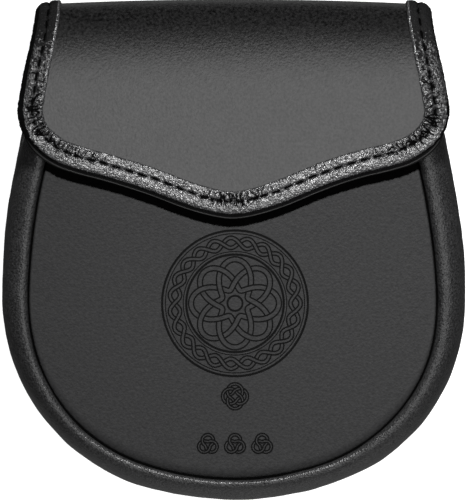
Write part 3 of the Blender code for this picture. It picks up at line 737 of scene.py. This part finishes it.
def band_edges(turns, bights, radius, swing, width, steps):
    """Edges of a band woven in and out round the roundel, broken where it passes under itself."""
    t = np.linspace(0, 2 * math.pi * turns, steps, endpoint=False)
    reach = radius + swing * np.cos(bights * t / turns)
    path = np.column_stack((reach * np.cos(t), reach * np.sin(t)))
    along = np.roll(path, -1, axis=0) - np.roll(path, 1, axis=0)
    along /= np.linalg.norm(along, axis=1)[:, None]
    side = np.column_stack((-along[:, 1], along[:, 0]))
    gap = np.linalg.norm(path[:, None] - path[None], axis=-1)
    apart = np.abs(np.arange(steps)[:, None] - np.arange(steps)[None])
    apart = np.minimum(apart, steps - apart)
    gap[apart < steps // (4 * bights)] = 1
    nearest = gap.argmin(axis=1)
    closeness = gap.min(axis=1)
    crossing = [i for i in range(steps) if closeness[i] < CROSSING_MISS
                and closeness[i - 1] >= closeness[i] < closeness[(i + 1) % steps]]
    nearby = np.arange(-steps // (3 * bights), steps // (3 * bights))
    strokes = []
    for sign in (-1, 1):
        line = path + side * sign * width / 2
        hidden = np.zeros(steps, bool)
        for i in crossing[::2]:
            under = (nearby + i) % steps
            over = (nearby + nearest[i]) % steps
            far = np.linalg.norm(line[under][:, None] - path[over][None], axis=-1).min(axis=1)
            hidden[under[far < width / 2 + CROSSING_GAP]] = True
        start = int(np.argmax(hidden)) if hidden.any() else 0
        stroke = []
        for i in np.roll(np.arange(steps), -start):
            if hidden[i]:
                if len(stroke) > 2:
                    strokes.append((np.array(stroke), LINE_WIDTH))
                stroke = []
            else:
                stroke.append(line[i])
        if len(stroke) > 2:
            strokes.append((np.array(stroke), LINE_WIDTH))
    return strokes


a = np.linspace(0, 2 * math.pi, 181)
strokes = [(np.column_stack((radius * np.cos(a), radius * np.sin(a))), width) for radius, width in RING_ROWS]
strokes += band_edges(turns=2, bights=23, radius=0.0241, swing=0.0020, width=0.0014, steps=2760)
strokes += band_edges(turns=3, bights=8, radius=0.0115, swing=0.0060, width=0.0020, steps=2400)
strokes = [(stroke + (ROUNDEL_X, ROUNDEL_Y), width) for stroke, width in strokes]
knot = band_edges(turns=3, bights=4, radius=0.0032, swing=0.0017, width=0.0010, steps=1200)
strokes += [(stroke + (ROUNDEL_X, ROUNDEL_Y - KNOT_BELOW), width) for stroke, width in knot]
trefoil = band_edges(turns=2, bights=3, radius=0.0025, swing=0.0014, width=0.0010, steps=600)
for x in (-TREFOIL_SPACING, 0.0, TREFOIL_SPACING):
    place = (ROUNDEL_X + x, ROUNDEL_Y - TREFOILS_BELOW)
    strokes += [(stroke[:, ::-1] + place, width) for stroke, width in trefoil]
# The lines' dark finish is partly the stamped lines' own tone and partly painted shade of their grooves.
line_tone_and_shade_finish = leather("engraved_lines_tone_and_shade", black=(0.0035, 0.0035, 0.0036), worn=(0.0050, 0.0050, 0.0050),
                   roughness=0.70, gloss=0.05, pore=0.0006, pore_depth=0.000010, wrinkle=0.0030,
                   wrinkle_depth=0.000025)
line_points, line_faces = draw_lines(strokes)
roundel = piece("engraved_roundel", line_points, line_faces, line_tone_and_shade_finish)

# The back panel is a plain flat leather that rises above the gusset to carry the flap.
# It is the side worn against the kilt, so it is left smooth. One seam runs round it and two hold the flap.
BACK_PITCH = 0.0042
BACK_STITCH = 0.0027
BACK_THREAD = 0.00028
BACK_PROUD = 0.00012
BACK_DIVE = 0.00040
SEAM_FROM_RIM = 0.0035
ROOT_SEAMS = (0.0040, 0.0135)
ROOT_SEAM_HALF = 0.0660
# Share of the way out from the middle, height above the back's face
BACK_ROWS = ((0.02, 0.0), (0.3, 0.0), (0.6, 0.0), (0.9, 0.0), (0.996, 0.0), (0.999, 0.0002), (1.0, 0.0006),
             (1.0, BACK_LEATHER), (0.02, BACK_LEATHER))
back_edge = outline + inward * (BACK_RIM + SEAM_GAP)
top_half = float(side_reach(FOLD_START_Y)) - BACK_RIM
back_edge = np.vstack((back_edge, np.linspace((top_half, FOLD_START_Y), (-top_half, FOLD_START_Y), 200)))
back_grid = []
for ring, rise in BACK_ROWS:
    flat = panel_middle + (back_edge - panel_middle) * ring
    back_grid.append(np.column_stack((flat, np.full(len(flat), BACK_FACE_Z + rise))))
back_grid = np.array(back_grid)
back_leather = leather("plain_back_leather", black=(0.012, 0.012, 0.0125), worn=(0.018, 0.018, 0.0185),
                       roughness=0.52, gloss=0.40, pore=0.0008, pore_depth=0.000020, wrinkle=0.0030,
                       wrinkle_depth=0.000050)
back_panel = piece("back_panel", back_grid, tube_faces(*back_grid.shape[:2]), back_leather)
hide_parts("back_panel")


def back_row(start, end):
    """Places along a row of back stitches: one line for each stitch, one value for each of its points."""
    return np.arange(start, end, BACK_PITCH)[:, None] + steps * BACK_STITCH


def back_stitches(name, centre):
    """Stitches whose thread lies on the back."""
    return stitches(name, centre, np.broadcast_to((0.0, 0.0, -1.0), centre.shape), BACK_THREAD)


back_rise = BACK_PROUD - BACK_DIVE * np.abs(steps * 2) ** 4
seam_path = outline + inward * (BACK_RIM + SEAM_FROM_RIM)
seam_run = travelled(seam_path)
at = back_row(BACK_PITCH, seam_run[-1] - BACK_PITCH)
back_stitches("back_seam_stitches", np.stack((*[np.interp(at, seam_run, column) for column in seam_path.T],
                                              np.broadcast_to(BACK_FACE_Z - back_rise, at.shape)), axis=-1))
at = back_row(-ROOT_SEAM_HALF, ROOT_SEAM_HALF + 0.0001)
back_stitches("flap_root_stitches",
              np.concatenate([bend_flap(at, along, FLAP_LEATHER + back_rise) for along in ROOT_SEAMS]))

# Two leather straps are sewn on the back at both feet and bowed between them for the belt.
# Their edges are rounded and dyed.
LOOP_LEATHER = 0.0016
LOOP_WIDTH = 0.0240
LOOP_LENGTH = 0.0500
LOOP_FOOT = 0.0080
LOOP_BEND = 0.0035
LOOP_X = 0.0420
LOOP_BELOW_ROOT = 0.0040
LOOP_EDGE = 0.0006
LOOP_SEAMS = (0.0020, 0.0062)
LOOP_SEAM_HALF = 0.0084
loop_y = FOLD_START_Y - ROOT_LAP - LOOP_BELOW_ROOT - LOOP_LENGTH / 2
foot_z = BACK_FACE_Z - GLUE
bow = LOOP_LENGTH / 2 - LOOP_FOOT
drop = foot_z - LOOP_LEATHER
t = np.linspace(0, 1, 15)
half_line = np.vstack(((LOOP_LENGTH / 2, foot_z), ((LOOP_LENGTH / 2 + bow) / 2, foot_z),
                       np.column_stack((bow - LOOP_BEND * t, foot_z - drop * t * t * (3 - 2 * t)))))
loop_line = np.vstack((half_line, half_line[::-1] * (-1, 1)))
loop_down = left_normals(loop_line)
if loop_down[len(loop_line) // 2, 1] > 0:
    loop_down = -loop_down
half = LOOP_WIDTH / 2
loop_section = [(-half, 0.0), (half, 0.0)]
for degrees in (0, 30, 60, 90):
    a = math.radians(degrees)
    loop_section.append((half - LOOP_EDGE * (1 - math.cos(a)), LOOP_LEATHER - LOOP_EDGE * (1 - math.sin(a))))
loop_section += [(-u, v) for u, v in loop_section[:1:-1]]
for name, x in (("belt_loop_left", -LOOP_X), ("belt_loop_right", LOOP_X)):
    loop_grid = np.array([[(x + u, loop_y + p[0] + n[0] * v, p[1] + n[1] * v) for u, v in loop_section]
                          for p, n in zip(loop_line, loop_down)])
    loop = piece(name, loop_grid, tube_faces(*loop_grid.shape[:2]), back_leather, sharp=40)
    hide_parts(name)
    at = back_row(-LOOP_SEAM_HALF, LOOP_SEAM_HALF + 0.0001)
    back_stitches(name + "_stitches", np.concatenate([
        np.stack((x + at, np.full(at.shape, loop_y + end * (LOOP_LENGTH / 2 - from_end)),
                  np.broadcast_to(foot_z - LOOP_LEATHER - back_rise, at.shape)), axis=-1)
        for end in (-1, 1) for from_end in LOOP_SEAMS]))

# The fastener between the flap's lining and the front panel is a low round stud of brushed nickel.
# The frame's own piece keeps its shape and takes the finish.
nickel = bpy.data.materials.new("brushed_nickel")
nickel.use_nodes = True
nodes, links = nickel.node_tree.nodes, nickel.node_tree.links
shader = nodes["Principled BSDF"]
shader.inputs["Base Color"].default_value = (0.62, 0.61, 0.58, 1)
shader.inputs["Metallic"].default_value = 1.0
brush = nodes.new("ShaderNodeTexNoise")
brush.inputs["Scale"].default_value = 900
scratch = nodes.new("ShaderNodeMapRange")
scratch.inputs["To Min"].default_value = 0.22
scratch.inputs["To Max"].default_value = 0.40
links.new(brush.outputs["Fac"], scratch.inputs["Value"])
links.new(scratch.outputs["Result"], shader.inputs["Roughness"])
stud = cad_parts["clasp_stud"]
stud.data.materials.clear()
stud.data.materials.append(nickel)

# The floor is a plain white sheet that the pouch lies on.
# It glows a little itself, so that it stays pure white round the dark leather.
FLOOR_HALF = 3.0
FLOOR_GLOW = 0.75
floor_mesh = bpy.data.meshes.new("white_floor")
floor_mesh.from_pydata([(x * FLOOR_HALF, y * FLOOR_HALF, 0) for x, y in ((-1, -1), (1, -1), (1, 1), (-1, 1))],
                       [], [(0, 1, 2, 3)])
white = bpy.data.materials.new("white_floor")
white.use_nodes = True
shader = white.node_tree.nodes["Principled BSDF"]
shader.inputs["Base Color"].default_value = (0.90, 0.90, 0.90, 1)
shader.inputs["Roughness"].default_value = 0.9
shader.inputs["Emission Color"].default_value = (1, 1, 1, 1)
shader.inputs["Emission Strength"].default_value = FLOOR_GLOW
floor_mesh.materials.append(white)
floor = bpy.data.objects.new("white_floor", floor_mesh)
bpy.context.scene.collection.objects.link(floor)
floor.visible_glossy = False

# The studio round it is dim. It has a wide low glow from beyond the pouch's bottom and a small one
# from beyond the fold, which show as soft sheen.
# Direction of the glow, cosines where it starts and is full, brightness outside it and in it
GLOW_ROWS = (((0.05, -0.90, -0.42), 0.20, 0.95, 0.012, 0.280),
             ((0.00, 0.80, -0.60), 0.84, 1.00, 0.000, 0.450))
world = bpy.data.worlds.new("dim_studio")
world.use_nodes = True
nodes, links = world.node_tree.nodes, world.node_tree.links
toward = nodes.new("ShaderNodeTexCoord").outputs["Generated"]
glows = []
for direction, start, full, low, high in GLOW_ROWS:
    facing = nodes.new("ShaderNodeVectorMath")
    facing.operation = "DOT_PRODUCT"
    facing.inputs[1].default_value = direction
    links.new(toward, facing.inputs[0])
    glow = nodes.new("ShaderNodeMapRange")
    glow.interpolation_type = "SMOOTHSTEP"
    glow.inputs["From Min"].default_value = start
    glow.inputs["From Max"].default_value = full
    glow.inputs["To Min"].default_value = low
    glow.inputs["To Max"].default_value = high
    links.new(facing.outputs["Value"], glow.inputs["Value"])
    glows.append(glow.outputs["Result"])
both = nodes.new("ShaderNodeMath")
for source, socket in zip(glows, both.inputs):
    links.new(source, socket)
links.new(both.outputs["Value"], nodes["Background"].inputs["Color"])
bpy.context.scene.world = world

# A large soft light and a small fill from the right light all but the front panel and its trim. A narrower
# key from beyond the fold lights those and the binding, and throws the flap's edge on the panel. Two low
# lights, one from beyond the fold and one from the bottom, graze the gusset's rolls alone.
SOFT_RADIANCE = 4.4
SOFT_SIZE = 1.60


def group_of(name, pieces):
    """A collection of the pieces that a light falls on."""
    group = bpy.data.collections.new(name)
    for obj in pieces:
        group.objects.link(obj)
    return group


def shine(name, kind, place, target, lit, **settings):
    """A light turned to a target, which falls on one group of pieces."""
    lamp = bpy.data.lights.new(name, kind)
    for key, value in settings.items():
        setattr(lamp, key, value)
    light = bpy.data.objects.new(name, lamp)
    bpy.context.scene.collection.objects.link(light)
    light.location = place
    light.rotation_euler = (Vector(target) - Vector(place)).to_track_quat("-Z", "Y").to_euler()
    light.light_linking.receiver_collection = lit
    if kind == "AREA":
        light.visible_camera = False


own_pieces = [obj for obj in bpy.context.scene.collection.objects if obj.type == "MESH"]
frame_pieces = [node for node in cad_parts.values() if node not in own_pieces]
by_soft = group_of("lit_by_soft_light", [obj for obj in own_pieces + frame_pieces
                                         if obj not in (front_panel, roundel, seam_shade_strip)])
by_key = group_of("lit_by_key", (front_panel, roundel, seam_shade_strip, binding))
by_roll_light = group_of("lit_by_roll_light", (gusset,))
shine("soft_overhead", "AREA", (0.25, 0.05, 1.5), (0, 0, 0), by_soft,
      shape="SQUARE", size=SOFT_SIZE, energy=SOFT_RADIANCE * math.pi * SOFT_SIZE ** 2)
shine("key_from_above_the_fold", "SPOT", (0.10, 1.13, 1.65), (0.115, -0.02, 0.03), by_key,
      energy=255, shadow_soft_size=0.06, spot_size=math.radians(21), spot_blend=1.0)
shine("fill_from_the_right", "AREA", (0.40, 0.05, 0.36), (0, 0, 0), by_soft, size=0.30, energy=0.18)
shine("roll_light", "SUN", (0.04, 1.0, 0.62), (0, 0, 0), by_roll_light, energy=9.5, angle=math.radians(8))
shine("toe_light", "SUN", (0.20, -1.0, 0.15), (0, 0, 0), by_roll_light, energy=1.4, angle=math.radians(90))

# The camera hangs straight above the middle of the front on a long lens.
# Its picture is 200 mm high at half the pouch's depth.
CAMERA_HEIGHT = 3.0
VIEW_HEIGHT = 0.200
camera = bpy.data.cameras.new("overhead_camera")
camera.sensor_fit = "VERTICAL"
camera.sensor_height = 24
camera.lens = camera.sensor_height * (CAMERA_HEIGHT - POUCH_DEPTH / 2) / VIEW_HEIGHT
camera.clip_end = 20
camera_object = bpy.data.objects.new("overhead_camera", camera)
camera_object.location = (0.0002, 0.0002, CAMERA_HEIGHT)
bpy.context.scene.collection.objects.link(camera_object)
bpy.context.scene.camera = camera_object
bpy.context.scene.view_settings.view_transform = "Standard"

bpy.context.view_layer.update()
